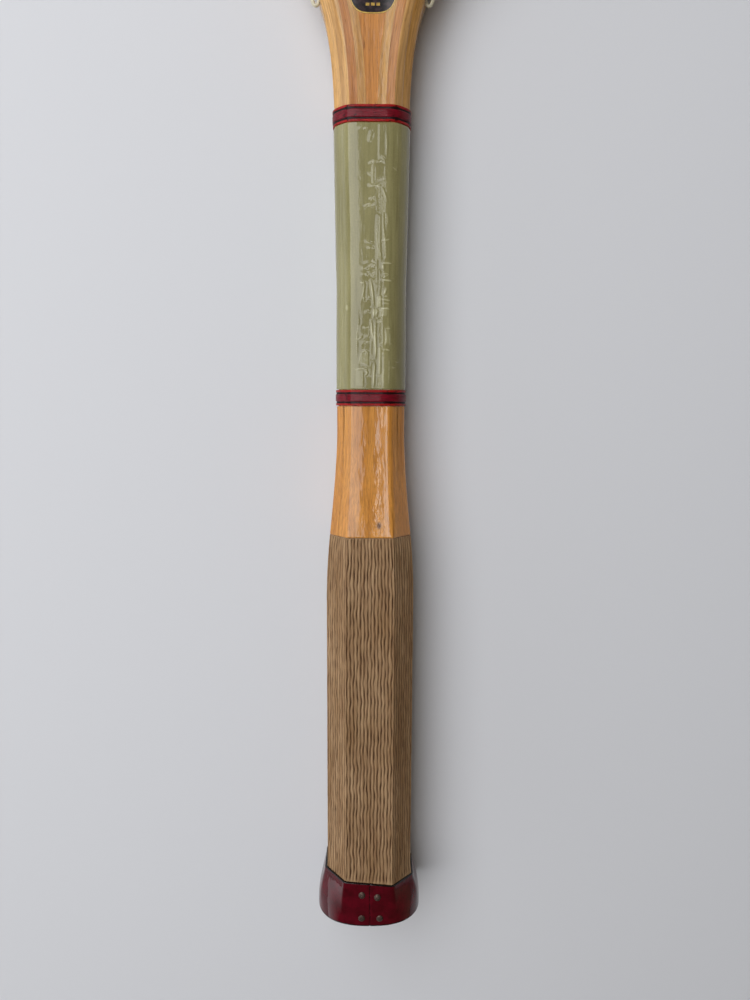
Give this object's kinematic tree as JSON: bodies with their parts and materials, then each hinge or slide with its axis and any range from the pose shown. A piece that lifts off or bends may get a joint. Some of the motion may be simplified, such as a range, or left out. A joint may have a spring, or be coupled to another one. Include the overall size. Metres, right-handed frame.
{
  "type": "wooden racket",
  "caption": "Wooden lawn racket with a laminated oval hoop, woven string bed, solid throat, lacquered sleeve between bindings, combed octagonal grip and leather butt band.",
  "frame": {"origin": "middle of the flat butt end of the handle", "axes": "+Y from the butt to the head tip, +X across the face to the right, +Z out of the face that shows the tacks"},
  "size_m": [0.228, 0.686, 0.0378],
  "materials": {
    "outer_ply_wood": "honey tan ash under glossy varnish",
    "second_ply_wood": "pale ash under glossy varnish",
    "third_ply_wood": "reddish beech under glossy varnish",
    "inner_ply_wood": "pale ash under glossy varnish",
    "wedge_wood": "orange-brown wood under glossy varnish",
    "string_nylon": "clear pale nylon string",
    "handle_wood": "matt brown combed wood on the grip, glossy varnish on the shoulder",
    "sleeve_lacquer": "olive wrap under crackled glossy lacquer",
    "binding_maroon": "maroon thread whipping under gloss varnish",
    "binding_red": "red thread edging under gloss varnish",
    "butt_leather": "glossy crimson leather, worn dark at the edges",
    "tack_steel": "dull brown oxidised steel"
  },
  "bodies": {
    "root": {"outer_ply": "outer_ply_wood", "second_ply": "second_ply_wood", "third_ply": "third_ply_wood", "inner_ply": "inner_ply_wood", "throat_wedge": "wedge_wood", "main_string": "string_nylon", "cross_string": "string_nylon", "handle_cheek_front": "handle_wood", "handle_cheek_back": "handle_wood", "handle_slip_left": "handle_wood", "handle_slip_right": "handle_wood", "shaft_sleeve": "sleeve_lacquer", "lower_binding_band": "binding_maroon", "lower_binding_lower_ring": "binding_red", "lower_binding_upper_ring": "binding_red", "upper_binding_band": "binding_maroon", "upper_binding_lower_ring": "binding_red", "upper_binding_upper_ring": "binding_red", "butt_band": "butt_leather", "butt_tack_1": "tack_steel", "butt_tack_2": "tack_steel", "butt_tack_3": "tack_steel", "butt_tack_4": "tack_steel"}
  },
  "joints": []
}
